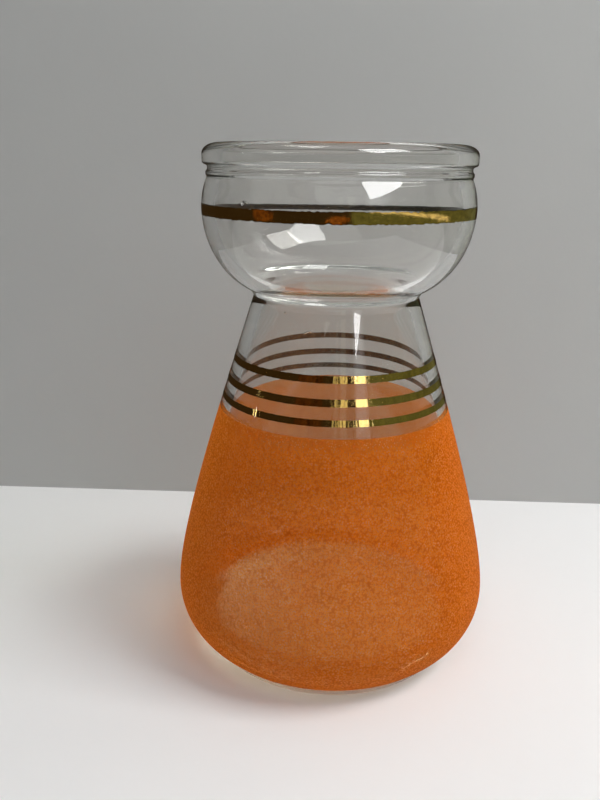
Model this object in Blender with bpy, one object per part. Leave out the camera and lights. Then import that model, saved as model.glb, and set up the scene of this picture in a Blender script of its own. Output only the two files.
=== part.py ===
"""Glass hyacinth (bulb-forcing) vase with an orange frosted coat and fired-on gold bands.

The vase stands on the XY plane with its axis on Z. Every piece is turned round that axis, so each
one is drawn as an outline of (radius, height) points in millimetres and spun by a Screw modifier.
The enamel coat and the gold bands are thin skins that lie a small gap off the glass.
"""
import math

import bpy

MM = 0.001
SEGMENTS = 64
# Two neighbouring points of an outline that are nearer than this, in millimetres, count as one
SAME_POINT = 0.02

# Heights and radii of the outer wall, in millimetres
HEIGHT = 150.0
FOOT_RADIUS = 36.0
FOOT_TOP_Z = 4.6
BELLY_RADIUS = 47.2
BELLY_Z = 20.0
BELLY_ROUND = 20.0
WAIST_RADIUS = 23.65
WAIST_Z = 108.9
WAIST_CORNER_RADIUS = 24.85
NECK_SLOPE = 0.313
NECK_HANDLE = 28.0
BELLY_HANDLE = 15.8
CUP_RADIUS = 38.05
CUP_Z = 133.3
CUP_FLOOR_RADIUS = 17.0
CUP_DEPTH = 24.5
CUP_SHOULDER_ROUND = 20.0
COLLAR_Z = 141.2
BEAD_RADIUS = 36.75
GROOVE_RADIUS = 36.3
FLANGE_RADIUS = 37.7
FLANGE_BOTTOM_Z = 144.5
FLANGE_SHOULDER_Z = 147.2
FLANGE_CHAMFER = 0.4
GROOVE_HEIGHT = 1.0
BEAD_HEIGHT = 0.8
FOOT_CHAMFER = 0.8

# The inside
WALL = 3.5
FLOOR_Z = 14.5
FLOOR_FLAT_RADIUS = 40.0
THROAT_LOW_Z = 105.5
THROAT_LOW_HANDLE = 3.2
THROAT_TOP_RADIUS = 24.0
THROAT_TOP_HANDLE = 2.4
MOUTH_RADIUS = 32.3
MOUTH_TOP_ROUND = 1.1
MOUTH_STRAIGHT_Z = 144.0
MOUTH_HANDLE_SHARE = 0.4
CONTACT_INNER_RADIUS = 33.0
PUSH_UP = 1.2

# The decoration: the (bottom, top) heights of each skin
COAT_SPAN = (4.2, 76.3)
BOWL_BAND_SPAN = (131.2, 134.15)
NECK_BAND_SPANS = {
    "upper_neck_gold_band": (90.1, 92.0),
    "middle_neck_gold_band": (84.25, 86.2),
    "lower_neck_gold_band": (79.3, 81.05),
}
SKIN_GAP = 0.3
SKIN_THICKNESS = 0.3

# Base colour, roughness, metallic and transmission
GLASS_LOOK = ((0.86, 0.89, 0.86), 0.05, 0.0, 0.9)
COAT_LOOK = ((0.78, 0.24, 0.04), 0.6, 0.0, 0.2)
GOLD_LOOK = ((0.72, 0.47, 0.14), 0.18, 1.0, 0.0)


def arc(centre, radii, start_degrees, end_degrees, steps):
    """Points along part of an ellipse whose axes lie along radius and height."""
    points = []
    for step in range(steps + 1):
        angle = math.radians(start_degrees + (end_degrees - start_degrees) * step / steps)
        points.append((centre[0] + radii[0] * math.cos(angle), centre[1] + radii[1] * math.sin(angle)))
    return points


def bezier(start, start_handle, end_handle, end, steps):
    """Points along a cubic Bezier curve."""
    points = []
    for step in range(steps + 1):
        t = step / steps
        weights = ((1 - t) ** 3, 3 * t * (1 - t) ** 2, 3 * t * t * (1 - t), t ** 3)
        corners = (start, start_handle, end_handle, end)
        points.append(tuple(sum(w * corner[axis] for w, corner in zip(weights, corners)) for axis in (0, 1)))
    return points


def joined(*runs):
    """One outline from several runs of points, without the points that two runs share."""
    outline = []
    for run in runs:
        for point in run:
            if not outline or math.dist(point, outline[-1]) > SAME_POINT:
                outline.append(point)
    return outline


def side_curve(radius_change, steps):
    """The flank from waist to belly. A negative radius_change gives the inner wall."""
    waist = (WAIST_RADIUS + radius_change, WAIST_Z)
    waist_handle = (waist[0] + NECK_SLOPE * NECK_HANDLE, WAIST_Z - NECK_HANDLE)
    belly = (BELLY_RADIUS + radius_change, BELLY_Z)
    belly_handle = (belly[0], BELLY_Z + BELLY_HANDLE)
    return bezier(waist, waist_handle, belly_handle, belly, steps)


def cup_angle(radius, wall):
    """Angle on the cup's lower ellipse, in degrees below horizontal, where it has this radius."""
    reach = CUP_RADIUS - CUP_FLOOR_RADIUS - wall
    return math.degrees(math.acos((radius - CUP_FLOOR_RADIUS) / reach))


def rim_outline():
    """The mouth's rounded edge, the flange, the groove under it and the bead, going outward and down."""
    inner_edge = arc((MOUTH_RADIUS + MOUTH_TOP_ROUND, HEIGHT - MOUTH_TOP_ROUND),
                     (MOUTH_TOP_ROUND, MOUTH_TOP_ROUND), 180, 90, 3)
    crest_radius = MOUTH_RADIUS + MOUTH_TOP_ROUND
    shoulder = arc((crest_radius, FLANGE_SHOULDER_Z),
                   (FLANGE_RADIUS - crest_radius, HEIGHT - FLANGE_SHOULDER_Z), 90, 0, 4)
    flange_foot = [(FLANGE_RADIUS, FLANGE_BOTTOM_Z + FLANGE_CHAMFER),
                   (FLANGE_RADIUS - FLANGE_CHAMFER, FLANGE_BOTTOM_Z)]
    groove_top = FLANGE_BOTTOM_Z - FLANGE_CHAMFER
    groove = [(GROOVE_RADIUS, groove_top), (GROOVE_RADIUS, groove_top - GROOVE_HEIGHT)]
    bead_middle = (COLLAR_Z + groove_top - GROOVE_HEIGHT) / 2
    bead = [(BEAD_RADIUS, bead_middle + BEAD_HEIGHT / 2), (BEAD_RADIUS, bead_middle - BEAD_HEIGHT / 2)]
    return joined(inner_edge, shoulder, flange_foot, groove, bead)


def cup_outline():
    """The outside of the bulb cup, from the collar down to the waist."""
    shoulder_centre = CUP_RADIUS - CUP_SHOULDER_ROUND
    collar_angle = math.degrees(math.asin((COLLAR_Z - CUP_Z) / CUP_SHOULDER_ROUND))
    shoulder = arc((shoulder_centre, CUP_Z), (CUP_SHOULDER_ROUND, CUP_SHOULDER_ROUND), collar_angle, 0, 3)
    underside = arc((CUP_FLOOR_RADIUS, CUP_Z), (CUP_RADIUS - CUP_FLOOR_RADIUS, CUP_DEPTH),
                    0, -cup_angle(WAIST_CORNER_RADIUS, 0.0), 7)
    return joined(shoulder, underside)


def body_outline():
    """The outside of the neck and body, from the waist down to the top of the foot."""
    belly_centre = (BELLY_RADIUS - BELLY_ROUND, BELLY_Z)
    foot_angle = math.degrees(math.asin((BELLY_Z - FOOT_TOP_Z) / BELLY_ROUND))
    belly = arc(belly_centre, (BELLY_ROUND, BELLY_ROUND), 0, -foot_angle, 6)
    return joined(side_curve(0.0, 9), belly)


def throat_curve(low_point, top_point, next_point, steps):
    """The rounded narrow part of the inside, from the neck's flank up to the start of the cup's floor."""
    rise = (next_point[0] - top_point[0], next_point[1] - top_point[1])
    share = THROAT_TOP_HANDLE / math.hypot(*rise)
    low_handle = (low_point[0] - NECK_SLOPE * THROAT_LOW_HANDLE, low_point[1] + THROAT_LOW_HANDLE)
    top_handle = (top_point[0] - rise[0] * share, top_point[1] - rise[1] * share)
    return bezier(low_point, low_handle, top_handle, top_point, steps)


def inner_outline():
    """The inside of the vase, from the middle of its floor up to the mouth."""
    inner_belly = BELLY_RADIUS - WALL
    corner = arc((FLOOR_FLAT_RADIUS, BELLY_Z), (inner_belly - FLOOR_FLAT_RADIUS, BELLY_Z - FLOOR_Z),
                 -90, 0, 3)
    wall_points = side_curve(-WALL, 12)
    flank = [point for point in reversed(wall_points) if point[1] < THROAT_LOW_Z - THROAT_LOW_HANDLE]
    cup_floor = arc((CUP_FLOOR_RADIUS, CUP_Z), (CUP_RADIUS - CUP_FLOOR_RADIUS - WALL, CUP_DEPTH - WALL),
                    -cup_angle(THROAT_TOP_RADIUS, WALL), 0, 6)
    throat = throat_curve(point_at_height(wall_points, THROAT_LOW_Z), cup_floor[0], cup_floor[1], 5)
    inner_cup = CUP_RADIUS - WALL
    handle = MOUTH_HANDLE_SHARE * (MOUTH_STRAIGHT_Z - CUP_Z)
    shoulder = bezier((inner_cup, CUP_Z), (inner_cup, CUP_Z + handle),
                      (MOUTH_RADIUS, MOUTH_STRAIGHT_Z - handle), (MOUTH_RADIUS, MOUTH_STRAIGHT_Z), 4)
    return joined([(0.0, FLOOR_Z)], corner, flank, throat, cup_floor, shoulder)


def foot_outline():
    """The foot's side, the flat ring that it stands on and the pushed-up underside, out to in."""
    side = [(FOOT_RADIUS + FOOT_CHAMFER, FOOT_CHAMFER), (FOOT_RADIUS, 0.0)]
    underside = bezier((CONTACT_INNER_RADIUS, 0.0), (CONTACT_INNER_RADIUS * 2 / 3, PUSH_UP * 2 / 3),
                       (CONTACT_INNER_RADIUS / 3, PUSH_UP), (0.0, PUSH_UP), 4)
    return joined(side, underside)


def skin_outline(wall_points, span):
    """A closed loop round a thin skin that follows the wall between two heights, a gap off it."""
    bottom, top = span
    stretch = [point_at_height(wall_points, top)]
    stretch += [point for point in wall_points if bottom < point[1] < top]
    stretch.append(point_at_height(wall_points, bottom))
    inner = offset_outward(stretch, SKIN_GAP)
    outer = offset_outward(stretch, SKIN_GAP + SKIN_THICKNESS)
    return outer + list(reversed(inner))


def point_at_height(wall_points, height):
    """The wall's point at this height. The wall's points run downward."""
    for upper, lower in zip(wall_points, wall_points[1:]):
        if upper[1] >= height >= lower[1]:
            share = (upper[1] - height) / (upper[1] - lower[1])
            return (upper[0] + share * (lower[0] - upper[0]), height)
    raise ValueError("the wall doesn't reach that height")


def offset_outward(points, distance):
    """The same run of points, which goes downward, moved outward square to itself."""
    moved = []
    for index, point in enumerate(points):
        before = points[max(index - 1, 0)]
        after = points[min(index + 1, len(points) - 1)]
        along = (after[0] - before[0], after[1] - before[1])
        length = math.hypot(*along)
        moved.append((point[0] - distance * along[1] / length, point[1] + distance * along[0] / length))
    return moved


def make_material(name, look):
    """A plain Principled material from one of the looks at the top."""
    colour, roughness, metallic, transmission = look
    material = bpy.data.materials.new(name)
    material.use_nodes = True
    shader = material.node_tree.nodes["Principled BSDF"]
    shader.inputs["Base Color"].default_value = (*colour, 1.0)
    shader.inputs["Roughness"].default_value = roughness
    shader.inputs["Metallic"].default_value = metallic
    shader.inputs["Transmission Weight"].default_value = transmission
    return material


def make_turned_piece(name, outline, closed, material):
    """An object whose outline is spun round Z. A closed outline makes a ring."""
    mesh = bpy.data.meshes.new(name)
    vertices = [(radius * MM, 0.0, height * MM) for radius, height in outline]
    edges = [(index, index + 1) for index in range(len(outline) - 1)]
    if closed:
        edges.append((len(outline) - 1, 0))
    mesh.from_pydata(vertices, edges, [])
    mesh.materials.append(material)
    piece = bpy.data.objects.new(name, mesh)
    bpy.context.scene.collection.objects.link(piece)
    screw = piece.modifiers.new("Turn", "SCREW")
    screw.angle = math.tau
    screw.axis = "Z"
    screw.steps = SEGMENTS
    screw.render_steps = SEGMENTS
    screw.use_merge_vertices = True
    screw.merge_threshold = 0.00001
    screw.use_smooth_shade = True
    return piece


def build_vase():
    """All the pieces: the glass, then the coat and the bands that lie on it."""
    upper_body = cup_outline()
    lower_body = body_outline()
    glass_outline = joined(inner_outline(), rim_outline(), upper_body, lower_body, foot_outline())
    make_turned_piece("glass_vase", glass_outline, False, make_material("clear_glass", GLASS_LOOK))

    coat = skin_outline(lower_body + foot_outline(), COAT_SPAN)
    make_turned_piece("orange_frost_coat", coat, True, make_material("orange_frost", COAT_LOOK))

    bowl_band = skin_outline(upper_body, BOWL_BAND_SPAN)
    make_turned_piece("bowl_gold_band", bowl_band, True, make_material("bowl_gold", GOLD_LOOK))
    for name, span in NECK_BAND_SPANS.items():
        material = make_material(name.replace("_band", ""), GOLD_LOOK)
        make_turned_piece(name, skin_outline(lower_body, span), True, material)


for leftover in list(bpy.data.objects):
    bpy.data.objects.remove(leftover, do_unlink=True)
build_vase()
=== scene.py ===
"""Looks for the hyacinth vase: clear glass, a frosted orange coat and fired-on gold bands.

Every CAD node is replaced by a finer turned piece with the same outline. Lengths are in millimetres
until a mesh is made, and each outline is a run of (radius, height) points, as in the CAD.
"""

import math

import bmesh
import bpy
from mathutils import Matrix, Vector, noise


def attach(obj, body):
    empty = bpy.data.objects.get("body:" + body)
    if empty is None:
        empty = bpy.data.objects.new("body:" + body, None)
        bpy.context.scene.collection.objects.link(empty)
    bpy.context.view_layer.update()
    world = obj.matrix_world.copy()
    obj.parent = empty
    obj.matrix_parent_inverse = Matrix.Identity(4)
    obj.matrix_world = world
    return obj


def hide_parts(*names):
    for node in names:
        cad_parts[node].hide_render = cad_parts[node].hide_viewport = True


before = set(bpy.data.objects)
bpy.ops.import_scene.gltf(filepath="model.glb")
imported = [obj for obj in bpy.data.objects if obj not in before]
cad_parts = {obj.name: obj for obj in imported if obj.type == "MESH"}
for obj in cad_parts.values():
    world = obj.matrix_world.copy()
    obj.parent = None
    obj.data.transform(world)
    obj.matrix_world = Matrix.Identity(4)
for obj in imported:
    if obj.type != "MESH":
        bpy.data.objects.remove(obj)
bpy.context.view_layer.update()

MM = 0.001
SAME_POINT = 0.02
EDGE_SOFTNESS = 0.8
GLASS_SEGMENTS = 256
COAT_SEGMENTS = 256
BAND_SEGMENTS = 720

# Heights and radii of the outer wall
HEIGHT = 150.0
FOOT_RADIUS = 36.0
FOOT_TOP_Z = 4.6
BELLY_RADIUS = 47.2
BELLY_Z = 20.0
BELLY_ROUND = 20.0
WAIST_RADIUS = 23.65
WAIST_Z = 108.9
WAIST_CORNER_RADIUS = 24.85
NECK_SLOPE = 0.313
NECK_HANDLE = 28.0
BELLY_HANDLE = 15.8
CUP_RADIUS = 38.05
CUP_Z = 133.3
CUP_FLOOR_RADIUS = 17.0
CUP_DEPTH = 24.5
CUP_SHOULDER_ROUND = 20.0
COLLAR_Z = 141.2
BEAD_RADIUS = 36.75
GROOVE_RADIUS = 36.3
FLANGE_RADIUS = 37.7
FLANGE_BOTTOM_Z = 144.5
FLANGE_SHOULDER_Z = 147.2
FLANGE_CHAMFER = 0.4
GROOVE_HEIGHT = 1.0
BEAD_HEIGHT = 0.8
FOOT_CHAMFER = 0.8

# The inside
WALL = 3.5
FLOOR_Z = 14.5
FLOOR_FLAT_RADIUS = 40.0
THROAT_LOW_Z = 105.5
THROAT_LOW_HANDLE = 3.2
THROAT_TOP_RADIUS = 24.0
THROAT_TOP_HANDLE = 2.4
MOUTH_RADIUS = 32.3
MOUTH_TOP_ROUND = 1.1
MOUTH_STRAIGHT_Z = 144.0
MOUTH_HANDLE_SHARE = 0.4
CONTACT_INNER_RADIUS = 33.0
PUSH_UP = 1.2
FLOOR_RING_RADII = (0.0, 6.0, 12.0, 18.0, 24.0, 30.0)

# The decoration: the (bottom, top) heights of each skin, and how far it lies off the glass
COAT_SPAN = (4.2, 76.3)
BOWL_BAND_SPAN = (131.2, 134.15)
NECK_BAND_SPANS = {
    "upper_neck_gold_band": (90.1, 92.0),
    "middle_neck_gold_band": (84.25, 86.2),
    "lower_neck_gold_band": (79.3, 81.05),
}
COAT_GAP = 0.04
BAND_GAP = 0.03
BAND_THICKNESS = 0.03
BOWL_BAND_EDGE_WEAR = 0.45
NECK_BAND_EDGE_WEAR = 0.18
BAND_SHARP_DEGREES = 40

# Small drawn-out air bubbles in the glass wall: height, angle round the vase in degrees, half the
# length, half the width, and tilt in degrees
BUBBLES = ((135.5, -128.1, 1.1, 0.3, -12.0),
           (102.1, -107.2, 1.3, 0.3, 22.0),
           (106.4, -125.3, 0.45, 0.22, 0.0))

# Colours of the glass, the enamel and the gold
GLASS_TINT = (0.935, 0.93, 0.915, 1.0)
GLASS_SHADOW_TINT = (0.90, 0.91, 0.89, 1.0)
GLASS_DEPTH_TINT = (0.80, 0.84, 0.78, 1.0)
GLASS_DEPTH_DENSITY = 14.0
ENAMEL_DARK = (0.74, 0.165, 0.004, 1.0)
ENAMEL_BRIGHT = (0.84, 0.215, 0.009, 1.0)
ENAMEL_PIT = (0.33, 0.045, 0.001, 1.0)
ENAMEL_SUGAR = (0.98, 0.47, 0.18, 1.0)
ENAMEL_THROUGH = (0.97, 0.25, 0.010, 1.0)
ENAMEL_PINHOLE = (1.0, 0.68, 0.42, 1.0)
GOLD_DARK = (0.74, 0.50, 0.16, 1.0)
GOLD_BRIGHT = (0.92, 0.68, 0.26, 1.0)
NECK_BACK_DARK = (0.030, 0.015, 0.007, 1.0)
NECK_BACK_BRIGHT = (0.095, 0.052, 0.024, 1.0)
# The bowl band's back is the same fired face as the neck bands' back, made darker as painted shade
BOWL_BACK_SHADED_DARK = (0.008, 0.004, 0.002, 1.0)
BOWL_BACK_SHADED_BRIGHT = (0.030, 0.018, 0.008, 1.0)

# The enamel's crystals, per metre, and the heights in metres over which coat and frosting fade out
CRYSTAL_SCALE = 1650.0
COAT_FADE = (0.0712, 0.0763)
FROSTING_FADE = (0.0690, 0.0763)

# Light bounces: glass needs many, or its thick rim and waist turn black
ALL_BOUNCES = 24
GLASS_BOUNCES = 20
CLEAR_BOUNCES = 32

# The camera
CAMERA_PLACE = (0.0, -0.2285, 0.1455)
CAMERA_DOWN = 16.763
CAMERA_YAW = -2.520
CAMERA_ROLL = 0.705
CAMERA_LENS = 35.74

# The stage
WALL_Y = 0.105
STAGE_HALF = 1.6
NEAR_HALF = 0.26
STAGE_Z = -0.0001
CARD_CENTRE = Vector((0.0, 0.0, 0.09))


# ---------------------------------------------------------------- outlines

def arc(centre, radii, start_degrees, end_degrees, steps):
    """Points along part of an ellipse whose axes lie along radius and height."""
    points = []
    for step in range(steps + 1):
        angle = math.radians(start_degrees + (end_degrees - start_degrees) * step / steps)
        points.append((centre[0] + radii[0] * math.cos(angle), centre[1] + radii[1] * math.sin(angle)))
    return points


def bezier(start, start_handle, end_handle, end, steps):
    """Points along a cubic Bezier curve."""
    points = []
    for step in range(steps + 1):
        t = step / steps
        weights = ((1 - t) ** 3, 3 * t * (1 - t) ** 2, 3 * t * t * (1 - t), t ** 3)
        corners = (start, start_handle, end_handle, end)
        points.append(tuple(sum(w * corner[axis] for w, corner in zip(weights, corners)) for axis in (0, 1)))
    return points


def joined(*runs):
    """One outline from several runs of points, without the points that two runs share."""
    outline = []
    for run in runs:
        for point in run:
            if not outline or math.dist(point, outline[-1]) > SAME_POINT:
                outline.append(point)
    return outline


def softened(outline, reach, turn_degrees=14.0, steps=4):
    """The outline with each sharp corner rounded over this distance, or a third of a shorter side."""
    rounded = [outline[0]]
    for before, corner, after in zip(outline, outline[1:], outline[2:]):
        way_in = Vector(corner) - Vector(before)
        way_out = Vector(after) - Vector(corner)
        if math.degrees(way_in.angle(way_out)) < turn_degrees:
            rounded.append(corner)
            continue
        start = Vector(corner) - way_in.normalized() * min(reach, way_in.length / 3)
        end = Vector(corner) + way_out.normalized() * min(reach, way_out.length / 3)
        for step in range(steps + 1):
            t = step / steps
            point = start * (1 - t) ** 2 + Vector(corner) * 2 * t * (1 - t) + end * t * t
            rounded.append((point.x, point.y))
    return rounded + [outline[-1]]


def side_curve(radius_change, steps):
    """The flank from waist to belly. A negative radius_change gives the inner wall."""
    waist = (WAIST_RADIUS + radius_change, WAIST_Z)
    waist_handle = (waist[0] + NECK_SLOPE * NECK_HANDLE, WAIST_Z - NECK_HANDLE)
    belly = (BELLY_RADIUS + radius_change, BELLY_Z)
    belly_handle = (belly[0], BELLY_Z + BELLY_HANDLE)
    return bezier(waist, waist_handle, belly_handle, belly, steps)


def cup_angle(radius, wall):
    """Angle on the cup's lower ellipse, in degrees below horizontal, where it has this radius."""
    reach = CUP_RADIUS - CUP_FLOOR_RADIUS - wall
    return math.degrees(math.acos((radius - CUP_FLOOR_RADIUS) / reach))


def rim_outline():
    """The mouth's rounded edge, the flange, the groove under it and the bead, going outward and down."""
    inner_edge = arc((MOUTH_RADIUS + MOUTH_TOP_ROUND, HEIGHT - MOUTH_TOP_ROUND),
                     (MOUTH_TOP_ROUND, MOUTH_TOP_ROUND), 180, 90, 8)
    crest_radius = MOUTH_RADIUS + MOUTH_TOP_ROUND
    shoulder = arc((crest_radius, FLANGE_SHOULDER_Z),
                   (FLANGE_RADIUS - crest_radius, HEIGHT - FLANGE_SHOULDER_Z), 90, 0, 14)
    flange_foot = [(FLANGE_RADIUS, FLANGE_BOTTOM_Z + FLANGE_CHAMFER),
                   (FLANGE_RADIUS - FLANGE_CHAMFER, FLANGE_BOTTOM_Z)]
    groove_top = FLANGE_BOTTOM_Z - FLANGE_CHAMFER
    groove = [(GROOVE_RADIUS, groove_top), (GROOVE_RADIUS, groove_top - GROOVE_HEIGHT)]
    bead_middle = (COLLAR_Z + groove_top - GROOVE_HEIGHT) / 2
    bead = [(BEAD_RADIUS, bead_middle + BEAD_HEIGHT / 2), (BEAD_RADIUS, bead_middle - BEAD_HEIGHT / 2)]
    return joined(inner_edge, shoulder, flange_foot, groove, bead)


def cup_outline():
    """The outside of the bulb cup, from the collar down to the waist."""
    shoulder_centre = CUP_RADIUS - CUP_SHOULDER_ROUND
    collar_angle = math.degrees(math.asin((COLLAR_Z - CUP_Z) / CUP_SHOULDER_ROUND))
    shoulder = arc((shoulder_centre, CUP_Z), (CUP_SHOULDER_ROUND, CUP_SHOULDER_ROUND), collar_angle, 0, 12)
    underside = arc((CUP_FLOOR_RADIUS, CUP_Z), (CUP_RADIUS - CUP_FLOOR_RADIUS, CUP_DEPTH),
                    0, -cup_angle(WAIST_CORNER_RADIUS, 0.0), 32)
    return joined(shoulder, underside)


def body_outline():
    """The outside of the neck and body, from the waist down to the top of the foot."""
    belly_centre = (BELLY_RADIUS - BELLY_ROUND, BELLY_Z)
    foot_angle = math.degrees(math.asin((BELLY_Z - FOOT_TOP_Z) / BELLY_ROUND))
    belly = arc(belly_centre, (BELLY_ROUND, BELLY_ROUND), 0, -foot_angle, 20)
    return joined(side_curve(0.0, 48), belly)


def inner_outline():
    """The inside of the vase, from the middle of its floor up to the mouth."""
    inner_belly = BELLY_RADIUS - WALL
    corner = arc((FLOOR_FLAT_RADIUS, BELLY_Z), (inner_belly - FLOOR_FLAT_RADIUS, BELLY_Z - FLOOR_Z),
                 -90, 0, 20)
    wall_points = side_curve(-WALL, 40)
    throat_low = point_at_height(wall_points, THROAT_LOW_Z)
    flank = [point for point in reversed(wall_points) if point[1] < THROAT_LOW_Z]
    cup_floor = arc((CUP_FLOOR_RADIUS, CUP_Z), (CUP_RADIUS - CUP_FLOOR_RADIUS - WALL, CUP_DEPTH - WALL),
                    -cup_angle(THROAT_TOP_RADIUS, WALL), 0, 28)
    floor_slope = Vector(cup_floor[1]) - Vector(cup_floor[0])
    throat_top_handle = Vector(cup_floor[0]) - floor_slope.normalized() * THROAT_TOP_HANDLE
    throat_low_handle = (throat_low[0] - NECK_SLOPE * THROAT_LOW_HANDLE, THROAT_LOW_Z + THROAT_LOW_HANDLE)
    throat = bezier(throat_low, throat_low_handle, throat_top_handle, cup_floor[0], 16)
    inner_cup = CUP_RADIUS - WALL
    handle = MOUTH_HANDLE_SHARE * (MOUTH_STRAIGHT_Z - CUP_Z)
    shoulder = bezier((inner_cup, CUP_Z), (inner_cup, CUP_Z + handle),
                      (MOUTH_RADIUS, MOUTH_STRAIGHT_Z - handle), (MOUTH_RADIUS, MOUTH_STRAIGHT_Z), 14)
    centre_to_corner = [(radius, FLOOR_Z) for radius in FLOOR_RING_RADII]
    return joined(centre_to_corner, corner, flank, throat, cup_floor, shoulder)


def foot_outline():
    """The foot's side, the flat ring that it stands on and the pushed-up underside, out to in."""
    side = [(FOOT_RADIUS + FOOT_CHAMFER, FOOT_CHAMFER), (FOOT_RADIUS, 0.0)]
    underside = bezier((CONTACT_INNER_RADIUS, 0.0), (CONTACT_INNER_RADIUS * 2 / 3, PUSH_UP * 2 / 3),
                       (CONTACT_INNER_RADIUS / 3, PUSH_UP), (0.0, PUSH_UP), 12)
    return joined(side, underside)


def point_at_height(wall_points, height):
    """The wall's point at this height. The wall's points run downward."""
    for upper, lower in zip(wall_points, wall_points[1:]):
        if upper[1] >= height >= lower[1]:
            share = (upper[1] - height) / (upper[1] - lower[1])
            return (upper[0] + share * (lower[0] - upper[0]), height)
    raise ValueError("the wall doesn't reach that height")


def stretch_of(wall_points, span):
    """The part of the wall between two heights, going downward."""
    bottom, top = span
    stretch = [point_at_height(wall_points, top)]
    stretch += [point for point in wall_points if bottom < point[1] < top]
    stretch.append(point_at_height(wall_points, bottom))
    return joined(stretch)


def offset_outward(points, distance):
    """The same run of points, which goes downward, moved outward square to itself."""
    moved = []
    for index, point in enumerate(points):
        before = points[max(index - 1, 0)]
        after = points[min(index + 1, len(points) - 1)]
        along = (after[0] - before[0], after[1] - before[1])
        length = math.hypot(*along)
        moved.append((point[0] - distance * along[1] / length, point[1] + distance * along[0] / length))
    return moved


# ---------------------------------------------------------------- meshes

def turned_mesh(name, outline, segments, closed):
    """A mesh whose outline is spun round Z. Points on the axis become one vertex each."""
    vertices, rings = [], []
    for radius, height in outline:
        if radius < 1e-6:
            rings.append([len(vertices)] * segments)
            vertices.append((0.0, 0.0, height * MM))
            continue
        rings.append(list(range(len(vertices), len(vertices) + segments)))
        for index in range(segments):
            angle = math.tau * index / segments
            vertices.append((radius * MM * math.cos(angle), radius * MM * math.sin(angle), height * MM))
    faces = []
    pairs = list(zip(rings, rings[1:])) + ([(rings[-1], rings[0])] if closed else [])
    for first, second in pairs:
        for index in range(segments):
            following = (index + 1) % segments
            corners = (first[index], second[index], second[following], first[following])
            faces.append(tuple(dict.fromkeys(corners)))
    mesh = bpy.data.meshes.new(name)
    mesh.from_pydata(vertices, [], faces)
    mesh.polygons.foreach_set("use_smooth", [True] * len(mesh.polygons))
    mesh.update()
    return mesh


def make_piece(name, mesh, node, slot, *materials):
    """An object for a mesh, in the place of a CAD node."""
    for material in materials:
        mesh.materials.append(material)
    piece = bpy.data.objects.new(name, mesh)
    bpy.context.scene.collection.objects.link(piece)
    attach(piece, "root")
    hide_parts(node)
    return piece


# ---------------------------------------------------------------- materials

def new_material(name):
    """An empty node material, its node tree and its output node."""
    material = bpy.data.materials.new(name)
    material.use_nodes = True
    tree = material.node_tree
    tree.nodes.clear()
    return material, tree, tree.nodes.new("ShaderNodeOutputMaterial")


def add_node(tree, kind, inputs=None, **settings):
    """A node with its settings and its inputs. An input is a plain value or another node's output."""
    node = tree.nodes.new(kind)
    for key, value in settings.items():
        setattr(node, key, value)
    for key, value in (inputs or {}).items():
        if isinstance(value, bpy.types.NodeSocket):
            tree.links.new(value, node.inputs[key])
        else:
            node.inputs[key].default_value = value
    return node


def noise_value(tree, scale, detail=2.0, roughness=0.5, stretch=(1.0, 1.0, 1.0)):
    """A noise value over the object, in features of about 1/scale metres."""
    place = add_node(tree, "ShaderNodeTexCoord").outputs["Object"]
    mapped = add_node(tree, "ShaderNodeMapping", {"Vector": place, "Scale": stretch}).outputs["Vector"]
    return add_node(tree, "ShaderNodeTexNoise", {
        "Vector": mapped, "Scale": scale, "Detail": detail, "Roughness": roughness}).outputs["Fac"]


def ranged(tree, value, low, high, new_low, new_high):
    """The value moved smoothly from one range to another, and kept inside it."""
    return add_node(tree, "ShaderNodeMapRange", {
        "Value": value, "From Min": low, "From Max": high, "To Min": new_low, "To Max": new_high},
        interpolation_type="SMOOTHSTEP").outputs["Result"]


def mixed_colour(tree, share, first, second):
    node = add_node(tree, "ShaderNodeMix", data_type="RGBA")
    for socket, value in (("Factor_Float", share), ("A_Color", first), ("B_Color", second)):
        target = next(s for s in node.inputs if s.identifier == socket)
        if isinstance(value, bpy.types.NodeSocket):
            tree.links.new(value, target)
        else:
            target.default_value = value
    return next(s for s in node.outputs if s.identifier == "Result_Color")


def mixed_shader(tree, share, first, second):
    node = add_node(tree, "ShaderNodeMixShader", {0: share})
    tree.links.new(first, node.inputs[1])
    tree.links.new(second, node.inputs[2])
    return node.outputs[0]


def glass_material():
    """Clear, slightly grey-green glass with a faint waviness. Lamps shine straight through it."""
    material, tree, output = new_material("clear_glass")
    place = add_node(tree, "ShaderNodeTexCoord").outputs["Object"]
    height = add_node(tree, "ShaderNodeSeparateXYZ", {"Vector": place}).outputs["Z"]
    frosting = ranged(tree, height, *FROSTING_FADE, 0.10, 0.0)
    waves = noise_value(tree, 45.0, 1.0)
    bump = add_node(tree, "ShaderNodeBump", {"Height": waves, "Strength": 0.12, "Distance": 0.0004})
    glass = add_node(tree, "ShaderNodeBsdfPrincipled", {
        "Base Color": GLASS_TINT, "Roughness": frosting, "IOR": 1.5,
        "Transmission Weight": 1.0, "Normal": bump.outputs["Normal"]})
    open_way = add_node(tree, "ShaderNodeBsdfTransparent", {"Color": GLASS_SHADOW_TINT})
    is_shadow = add_node(tree, "ShaderNodeLightPath").outputs["Is Shadow Ray"]
    surface = mixed_shader(tree, is_shadow, glass.outputs[0], open_way.outputs[0])
    tree.links.new(surface, output.inputs["Surface"])
    depth = add_node(tree, "ShaderNodeVolumeAbsorption", {
        "Color": GLASS_DEPTH_TINT, "Density": GLASS_DEPTH_DENSITY})
    tree.links.new(depth.outputs[0], output.inputs["Volume"])
    return material


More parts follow.
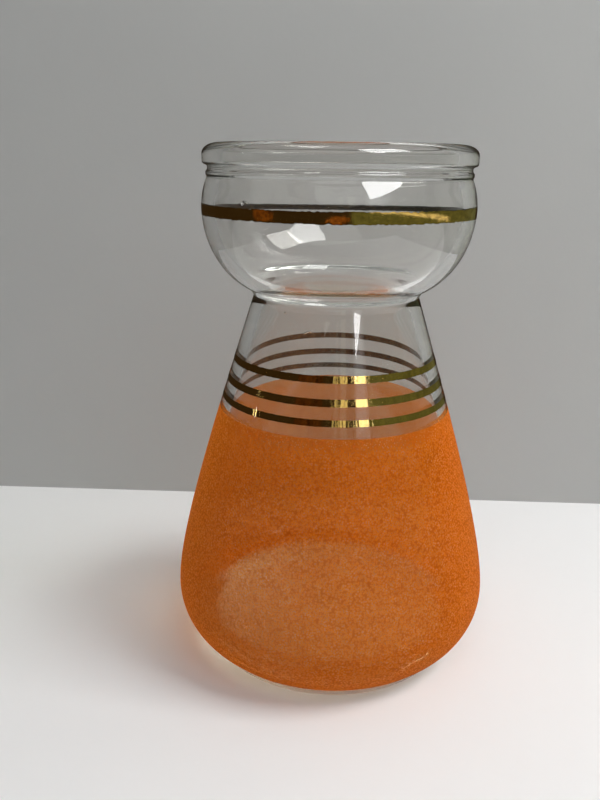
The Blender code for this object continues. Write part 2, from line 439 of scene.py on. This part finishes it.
def coat_material():
    """Translucent orange enamel under a sugar-like frost, with pinholes that let the glass show."""
    material, tree, output = new_material("orange_frost")
    place = add_node(tree, "ShaderNodeTexCoord").outputs["Object"]
    crystals = add_node(tree, "ShaderNodeTexVoronoi", {
        "Vector": place, "Scale": CRYSTAL_SCALE, "Randomness": 1.0}).outputs["Distance"]
    drift = noise_value(tree, 420.0, 3.0, 0.6)
    cloud = noise_value(tree, 40.0, 2.0)
    height = add_node(tree, "ShaderNodeSeparateXYZ", {"Vector": place}).outputs["Z"]
    top_fade = ranged(tree, height, *COAT_FADE, 0.0, 0.35)
    thickness = add_node(tree, "ShaderNodeMath", {0: crystals, 1: top_fade}, operation="SUBTRACT").outputs[0]
    pinhole = ranged(tree, thickness, 0.14, 0.60, 0.57, 0.27)
    facing = add_node(tree, "ShaderNodeLayerWeight", {"Blend": 0.5}).outputs["Facing"]
    openness = ranged(tree, facing, 0.15, 0.85, 1.0, 0.12)
    gap = add_node(tree, "ShaderNodeMath", {0: pinhole, 1: openness}, operation="MULTIPLY").outputs[0]
    deep = mixed_colour(tree, cloud, ENAMEL_DARK, ENAMEL_BRIGHT)
    pits = ranged(tree, crystals, 0.44, 0.70, 0.0, 0.70)
    pitted = mixed_colour(tree, pits, deep, ENAMEL_PIT)
    sugar = ranged(tree, crystals, 0.14, 0.46, 1.0, 0.0)
    sugar_share = add_node(tree, "ShaderNodeMath", {
        0: sugar, 1: ranged(tree, drift, 0.35, 0.65, 0.30, 0.75)}, operation="MULTIPLY").outputs[0]
    face = mixed_colour(tree, sugar_share, pitted, ENAMEL_SUGAR)
    bump = add_node(tree, "ShaderNodeBump", {"Height": crystals, "Strength": 0.25, "Distance": 0.0001})
    front = add_node(tree, "ShaderNodeBsdfPrincipled", {
        "Base Color": face, "Roughness": 0.75, "Specular IOR Level": 0.06, "Normal": bump.outputs["Normal"]})
    through = add_node(tree, "ShaderNodeBsdfTranslucent", {"Color": ENAMEL_THROUGH})
    body = mixed_shader(tree, 0.40, front.outputs[0], through.outputs[0])
    clear = add_node(tree, "ShaderNodeBsdfTransparent", {"Color": ENAMEL_PINHOLE})
    tree.links.new(mixed_shader(tree, gap, body, clear.outputs[0]), output.inputs["Surface"])
    return material


def gold_material():
    """Bright fired gold, a little uneven, with fine rubbed marks."""
    material, tree, output = new_material("bright_gold")
    patches = noise_value(tree, 260.0, 3.0, 0.6)
    rubs = noise_value(tree, 900.0, 2.0, 0.6, (1.0, 1.0, 6.0))
    grit = noise_value(tree, 1500.0, 2.0, 0.7)
    colour = mixed_colour(tree, patches, GOLD_DARK, GOLD_BRIGHT)
    rough = ranged(tree, rubs, 0.45, 0.75, 0.04, 0.22)
    bump = add_node(tree, "ShaderNodeBump", {"Height": grit, "Strength": 0.22, "Distance": 0.00005})
    gold = add_node(tree, "ShaderNodeBsdfPrincipled", {
        "Base Color": colour, "Metallic": 1.0, "Roughness": rough, "Normal": bump.outputs["Normal"]})
    tree.links.new(gold.outputs[0], output.inputs["Surface"])
    return material


def gold_back_material(name, dark, light):
    """The matt copper brown of the gold's fired face, seen through the glass. The bowl band's copy gets
    darker colours, as painted shade.
    """
    material, tree, output = new_material(name)
    patches = noise_value(tree, 700.0, 3.0, 0.6)
    back = add_node(tree, "ShaderNodeBsdfPrincipled", {
        "Base Color": mixed_colour(tree, ranged(tree, patches, 0.35, 0.65, 0.0, 1.0), dark, light),
        "Roughness": 0.55, "Metallic": 0.2, "Specular IOR Level": 0.25})
    tree.links.new(back.outputs[0], output.inputs["Surface"])
    return material


# ---------------------------------------------------------------- pieces

def add_bubbles(mesh, wall_points):
    """Drawn-out hollows, faced inward, halfway through the glass wall."""
    body = bmesh.new()
    body.from_mesh(mesh)
    for height, around, half_length, half_width, tilt in BUBBLES:
        radius = point_at_height(wall_points, height)[0] - WALL / 2
        size = (half_width * MM, half_length * MM, half_width * MM, 1.0)
        place = (Matrix.Rotation(math.radians(around), 4, "Z")
                 @ Matrix.Translation((radius * MM, 0.0, height * MM))
                 @ Matrix.Rotation(math.radians(tilt), 4, "X")
                 @ Matrix.Diagonal(size))
        bubble = bmesh.ops.create_icosphere(body, subdivisions=3, radius=1.0, matrix=place)
        faces = list({face for vertex in bubble["verts"] for face in vertex.link_faces})
        bmesh.ops.reverse_faces(body, faces=faces)
        for face in faces:
            face.smooth = True
    body.to_mesh(mesh)
    body.free()


def build_glass():
    """The one-piece glass body, inside and outside, with its small bubbles."""
    upper_body = cup_outline()
    lower_body = body_outline()
    outline = joined(inner_outline(), rim_outline(), upper_body, lower_body, foot_outline())
    mesh = turned_mesh("vase_glass", softened(outline, EDGE_SOFTNESS), GLASS_SEGMENTS, False)
    add_bubbles(mesh, joined(upper_body, lower_body))
    return make_piece("vase_glass", mesh, "glass_vase", "clear_glass", glass_material())


def build_coat():
    """The enamel coat: one surface that follows the glass from the foot to the neck."""
    wall = joined(body_outline(), foot_outline())
    outline = offset_outward(stretch_of(wall, COAT_SPAN), COAT_GAP)
    mesh = turned_mesh("frosted_coat", outline, COAT_SEGMENTS, False)
    return make_piece("frosted_coat", mesh, "orange_frost_coat", "orange_frost", coat_material())


def build_band(node, wall, span, edge_wear, gold, gold_back):
    """A thin closed ring: bright gold on its outer face, matt brown on the face against the glass."""
    stretch = stretch_of(wall, span)
    outer = offset_outward(stretch, BAND_GAP + BAND_THICKNESS)
    inner = offset_outward(stretch, BAND_GAP)
    name = node.replace("_gold_band", "_gilt")
    mesh = turned_mesh(name, outer + list(reversed(inner)), BAND_SEGMENTS, True)
    middle = (span[0] + span[1]) / 2 * MM
    half = (span[1] - span[0]) / 2 * MM
    for vertex in mesh.vertices:
        angle = math.atan2(vertex.co.y, vertex.co.x)
        side = 1.0 if vertex.co.z > middle else -1.0
        spot = Vector((math.cos(angle) * 40, math.sin(angle) * 40, side * 9 + middle * 1000))
        ragged = noise.noise(spot) * 0.6 + noise.noise(spot * 3.1) * 0.4
        nearness = abs(vertex.co.z - middle) / half
        vertex.co.z -= side * edge_wear * MM * max(ragged, -0.3) * nearness ** 2
    for polygon in mesh.polygons:
        centre = polygon.center
        outward = polygon.normal.x * centre.x + polygon.normal.y * centre.y
        polygon.material_index = 0 if outward > 0 else 1
    mesh.set_sharp_from_angle(angle=math.radians(BAND_SHARP_DEGREES))
    return make_piece(mesh.name, mesh, node, "gold", gold, gold_back)


# ---------------------------------------------------------------- stage, light and camera

def stage_material(name, low, high, rough, one_sided):
    """Matt paint with a faint unevenness. A one-sided wall can't be seen from behind."""
    material, tree, output = new_material(name)
    mottle = noise_value(tree, 9.0, 4.0)
    colour = mixed_colour(tree, mottle, low, high)
    bump = add_node(tree, "ShaderNodeBump", {
        "Height": noise_value(tree, 120.0, 3.0), "Strength": 0.12, "Distance": 0.001})
    paint = add_node(tree, "ShaderNodeBsdfPrincipled", {
        "Base Color": colour, "Roughness": rough, "Specular IOR Level": 0.3,
        "Normal": bump.outputs["Normal"]})
    shader = paint.outputs[0]
    if one_sided:
        backfacing = add_node(tree, "ShaderNodeNewGeometry").outputs["Backfacing"]
        unseen = add_node(tree, "ShaderNodeBsdfTransparent").outputs[0]
        shader = mixed_shader(tree, backfacing, shader, unseen)
    tree.links.new(shader, output.inputs["Surface"])
    return material


def stage_piece(name, corners, material, faces=None):
    """A flat piece of the stage, from its corners."""
    mesh = bpy.data.meshes.new(name)
    mesh.from_pydata(corners, [], faces or [tuple(range(len(corners)))])
    mesh.materials.append(material)
    piece = bpy.data.objects.new(name, mesh)
    bpy.context.scene.collection.objects.link(piece)
    return piece


def square(half):
    return [(-half, -half, STAGE_Z), (half, -half, STAGE_Z), (half, half, STAGE_Z), (-half, half, STAGE_Z)]


def build_stage():
    """A white floor and a grey wall. Mirrors see only the floor close by, as if it were a shelf."""
    paint = stage_material("pale_floor", (0.87, 0.875, 0.88, 1), (0.91, 0.915, 0.92, 1), 0.5, False)
    stage_piece("near_floor", square(NEAR_HALF), paint)
    ring = [(index, (index + 1) % 4, 4 + (index + 1) % 4, 4 + index) for index in range(4)]
    far = stage_piece("far_floor", square(STAGE_HALF) + square(NEAR_HALF), paint, ring)
    far.visible_glossy = False
    wall = stage_material("grey_wall", (0.385, 0.39, 0.385, 1), (0.43, 0.435, 0.425, 1), 0.8, True)
    corners = [(-STAGE_HALF, WALL_Y, STAGE_Z), (STAGE_HALF, WALL_Y, STAGE_Z),
               (STAGE_HALF, WALL_Y, STAGE_HALF), (-STAGE_HALF, WALL_Y, STAGE_HALF)]
    backdrop = stage_piece("backdrop", corners, wall)
    backdrop.visible_glossy = False


def direction(azimuth, elevation):
    """A unit vector: azimuth 0 points to the camera's side (-Y) and 90 to the right (+X), in degrees."""
    a, e = math.radians(azimuth), math.radians(elevation)
    return Vector((math.sin(a) * math.cos(e), -math.cos(a) * math.cos(e), math.sin(e)))


def add_soft_light(name, azimuth, elevation, distance, size, power, colour):
    """A large soft light for the matt surfaces. It leaves no reflection of itself."""
    light = bpy.data.lights.new(name, "AREA")
    light.shape, light.size, light.size_y = "RECTANGLE", size[0], size[1]
    light.energy, light.color = power, colour
    lamp = bpy.data.objects.new(name, light)
    lamp.location = Vector((0, 0, 0.07)) + direction(azimuth, elevation) * distance
    lamp.rotation_euler = direction(azimuth, elevation).to_track_quat("Z", "Y").to_euler()
    lamp.visible_camera = lamp.visible_glossy = False
    bpy.context.scene.collection.objects.link(lamp)


def add_reflected_card(name, profile, strength, colour=(1.0, 1.0, 1.0), distance=1.2, mottle=0.0):
    """A glowing card that shows only in reflections. Its profile is a run of (azimuth, lowest elevation,
    highest elevation), and one flat panel joins each pair of neighbours. Mottle is the share of the
    strength that comes and goes in patches."""
    material, tree, output = new_material(name)
    patches = ranged(tree, noise_value(tree, 22.0, 4.0, 0.65), 0.38, 0.62, strength * (1 - mottle), strength)
    glow = add_node(tree, "ShaderNodeEmission", {"Color": (*colour, 1.0), "Strength": patches})
    tree.links.new(glow.outputs[0], output.inputs["Surface"])
    mesh = bpy.data.meshes.new(name)
    corners = [(azimuth, elevation) for azimuth, *ends in profile for elevation in ends]
    vertices = [CARD_CENTRE + direction(*corner) * distance for corner in corners]
    panels = [(index, index + 1, index + 3, index + 2) for index in range(0, len(vertices) - 2, 2)]
    mesh.from_pydata(vertices, [], panels)
    mesh.materials.append(material)
    card = bpy.data.objects.new(name, mesh)
    card.visible_camera = card.visible_diffuse = card.visible_transmission = card.visible_shadow = False
    bpy.context.scene.collection.objects.link(card)


def build_lights():
    """Two soft lamps for the matt surfaces, and glowing cards that only glass and gold mirror. Each card
    is named after the part of a room that it suggests."""
    curtain, olive, rust = (1.0, 0.93, 0.7), (0.9, 1.0, 0.5), (1.0, 0.36, 0.10)
    add_soft_light("window_light", azimuth=74, elevation=48, distance=0.9, size=(0.40, 0.34), power=5.7,
                   colour=(1.0, 0.99, 0.97))
    add_soft_light("room_fill", azimuth=14, elevation=46, distance=0.85, size=(0.9, 0.6), power=2.6,
                   colour=(0.98, 0.99, 1.0))
    add_reflected_card("sky", [(19, 48, 60), (22, 36, 60), (25, 19.5, 60), (34, 23, 60), (50, 31, 60),
                               (66, 39, 60)], 15.0)
    add_reflected_card("window_glow", [(22, 11, 24), (36, 11, 24)], 1.0, distance=1.25)
    add_reflected_card("window_strip", [(24, 13, 23), (33, 13, 23)], 1.8)
    add_reflected_card("left_lamp", [(-83, 6, 7), (-81, 6, 7)], 9.0)
    add_reflected_card("curtain_left", [(1, 10, 24), (4, 10, 24)], 0.6, curtain)
    add_reflected_card("curtain_middle", [(7, 10, 24), (13, 10, 24)], 0.8, curtain)
    add_reflected_card("garden", [(10, -20, 5), (35, -20, 8), (38, -20, 20), (65, -20, 20), (95, -20, 14),
                                  (125, -20, 14), (150, -20, 14)], 0.16, olive, distance=1.4, mottle=0.6)
    add_reflected_card("sill", [(25, 3, 6.5), (42, 1, 4.5), (60, -1.5, 2.5), (80, -4, -0.5), (98, -6.5, -3)],
                       1.0, curtain, mottle=0.7)
    add_reflected_card("cupboard", [(-8, -9, -5), (-2, -10, -2), (5, -9, -3), (9, -7, -4)], 0.34, rust,
                       mottle=0.9)
    add_reflected_card("armchair", [(-70, -6, 1), (-61, -8, 3), (-52, -6, 0)], 0.20, rust, mottle=0.9)
    add_reflected_card("door", [(-40, 8, 26), (-26, 8, 26), (-12, 8, 26)], 0.10, rust, mottle=0.9)


def build_world():
    """A pale world that mirrors see as a dim room."""
    world = bpy.data.worlds.new("studio")
    world.use_nodes = True
    tree = world.node_tree
    tree.nodes.clear()
    output = tree.nodes.new("ShaderNodeOutputWorld")
    pale = add_node(tree, "ShaderNodeBackground", {"Color": (0.80, 0.81, 0.82, 1), "Strength": 0.14})
    dim = add_node(tree, "ShaderNodeBackground", {"Color": (0.10, 0.065, 0.035, 1), "Strength": 0.3})
    path = add_node(tree, "ShaderNodeLightPath").outputs
    is_mirrored = add_node(tree, "ShaderNodeMath", {
        0: path["Is Glossy Ray"], 1: path["Is Transmission Ray"]},
        operation="SUBTRACT", use_clamp=True).outputs[0]
    tree.links.new(mixed_shader(tree, is_mirrored, pale.outputs[0], dim.outputs[0]), output.inputs["Surface"])
    bpy.context.scene.world = world


def build_camera():
    """The camera, turned by its yaw, its downward pitch and its roll."""
    down, yaw, roll = (math.radians(angle) for angle in (CAMERA_DOWN, CAMERA_YAW, CAMERA_ROLL))
    ahead = Vector((math.sin(yaw) * math.cos(down), math.cos(yaw) * math.cos(down), -math.sin(down)))
    level_right = Vector((math.cos(yaw), -math.sin(yaw), 0.0))
    level_up = level_right.cross(ahead)
    right = level_right * math.cos(roll) + level_up * math.sin(roll)
    up = level_up * math.cos(roll) - level_right * math.sin(roll)
    camera = bpy.data.objects.new("camera", bpy.data.cameras.new("camera"))
    camera.data.lens = CAMERA_LENS
    camera.data.clip_start = 0.01
    turned = Matrix((right, up, -ahead)).transposed().to_4x4()
    camera.matrix_world = Matrix.Translation(CAMERA_PLACE) @ turned
    bpy.context.scene.collection.objects.link(camera)
    bpy.context.scene.camera = camera


build_camera()
build_stage()
build_world()
build_lights()
build_glass()
build_coat()
gold = gold_material()
neck_back = gold_back_material("neck_gold_back", NECK_BACK_DARK, NECK_BACK_BRIGHT)
# The bowl band's back is a darker copy of the neck bands' back: painted shade
bowl_back_shaded = gold_back_material("bowl_gold_back_painted_shade", BOWL_BACK_SHADED_DARK, BOWL_BACK_SHADED_BRIGHT)
build_band("bowl_gold_band", cup_outline(), BOWL_BAND_SPAN, BOWL_BAND_EDGE_WEAR, gold, bowl_back_shaded)
for band, span in NECK_BAND_SPANS.items():
    build_band(band, body_outline(), span, NECK_BAND_EDGE_WEAR, gold, neck_back)

scene = bpy.context.scene
scene.view_settings.view_transform = "Standard"
scene.cycles.max_bounces = ALL_BOUNCES
scene.cycles.glossy_bounces = GLASS_BOUNCES
scene.cycles.transmission_bounces = GLASS_BOUNCES
scene.cycles.transparent_max_bounces = CLEAR_BOUNCES
